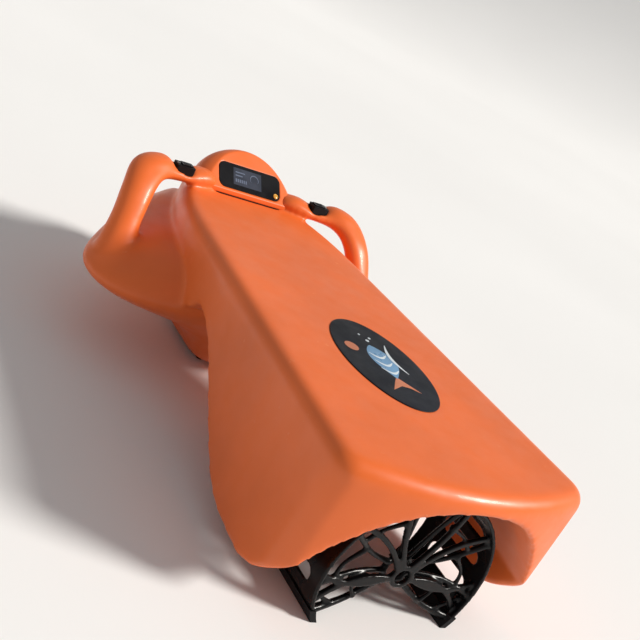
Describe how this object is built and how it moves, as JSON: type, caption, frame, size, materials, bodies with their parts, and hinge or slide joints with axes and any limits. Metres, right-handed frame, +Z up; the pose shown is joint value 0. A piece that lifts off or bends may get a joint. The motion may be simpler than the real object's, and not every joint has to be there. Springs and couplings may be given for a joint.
{
  "type": "underwater scooter",
  "caption": "Hand-held underwater scooter: orange moulded hull with a water tunnel, winged bow with hand loops, display, ducted propeller and rear guard.",
  "frame": {"origin": "on the ground, under the middle of the scooter's overall box", "axes": "+X to starboard, +Y to the bow, +Z up; the deck is level"},
  "size_m": [0.6504, 1.1385, 0.362],
  "materials": {
    "hull_orange": "satin moulded, slightly scuffed",
    "cover_orange": "satin moulded",
    "tunnel_orange": "satin moulded",
    "foam": "closed-cell foam",
    "badge_navy": "gloss badge",
    "soft_rubber": "matte",
    "steel": "brushed",
    "battery_case": "matte",
    "cable_jacket": "matte",
    "anodised": "dark anodised",
    "stator_iron": "laminated and wound",
    "rotor_steel": "ground",
    "propeller_metal": "cast, bead blasted",
    "duct_black": "satin",
    "guard_black": "gloss, wet looking",
    "bezel_black": "gloss",
    "screen_glass": "dim display under glass",
    "circuit_board": "lacquered",
    "button_amber": "satin metallic",
    "socket_black": "fine grain",
    "key_black": "gloss"
  },
  "bodies": {
    "hull": {"battery_cover": "cover_orange", "battery_cover_gasket": "soft_rubber", "battery_cover_screws": "steel", "battery_leads": "cable_jacket", "battery_pack": "battery_case", "bow_moulding": "hull_orange", "buoyancy_foam": "foam", "cap_hinge_pin": "steel", "charge_socket": "socket_black", "console_gasket": "soft_rubber", "console_pod": "hull_orange", "controller_box": "anodised", "deck_badge": "badge_navy", "display_bezel": "bezel_black", "display_board": "circuit_board", "display_screen": "screen_glass", "duct_screws": "steel", "guard": "guard_black", "guard_feet": "soft_rubber", "guard_screws": "steel", "keel_skids": "soft_rubber", "key_housing_screws": "steel", "left_handle": "hull_orange", "left_key_housing": "socket_black", "left_key_spring": "steel", "motor_leads": "cable_jacket", "motor_pod": "anodised", "motor_pylon": "anodised", "motor_stator": "stator_iron", "nozzle_duct": "duct_black", "pod_nose_cone": "anodised", "power_switch": "circuit_board", "pylon_bolts": "steel", "right_handle": "hull_orange", "right_key_housing": "socket_black", "right_key_spring": "steel", "shaft_bearings": "steel", "shaft_seal": "soft_rubber", "tunnel_liner": "tunnel_orange", "upper_hull": "hull_orange"},
    "rotor": {"drive_shaft": "steel", "motor_rotor": "rotor_steel", "propeller": "propeller_metal", "propeller_nut": "steel"},
    "power_button": {"power_button": "button_amber"},
    "left_thumb_key": {"left_thumb_key": "key_black"},
    "right_thumb_key": {"right_thumb_key": "key_black"},
    "charge_cap": {"charge_cap": "soft_rubber"}
  },
  "joints": [
    {"name": "propeller_spin", "type": "hinge", "parent": "hull", "child": "rotor", "pos_m": [0, -0.32, 0.083], "axis": [0, 1, 0], "continuous": true},
    {"name": "power_button_press", "type": "slide", "parent": "hull", "child": "power_button", "axis": [0, 0.6428, -0.766], "range_m": [0, 0.0015], "stiffness_N_per_m": 300},
    {"name": "left_key_press", "type": "slide", "parent": "hull", "child": "left_thumb_key", "axis": [0, 0, -1], "range_m": [0, 0.0025], "stiffness_N_per_m": 300, "deforming": ["left_key_spring"]},
    {"name": "right_key_press", "type": "slide", "parent": "hull", "child": "right_thumb_key", "axis": [0, 0, -1], "range_m": [0, 0.0025], "stiffness_N_per_m": 300, "deforming": ["right_key_spring"]},
    {"name": "charge_cap_hinge", "type": "hinge", "parent": "hull", "child": "charge_cap", "pos_m": [0, 0.4865, 0.2615], "axis": [1, 0, 0], "range_deg": [0, 110]}
  ]
}
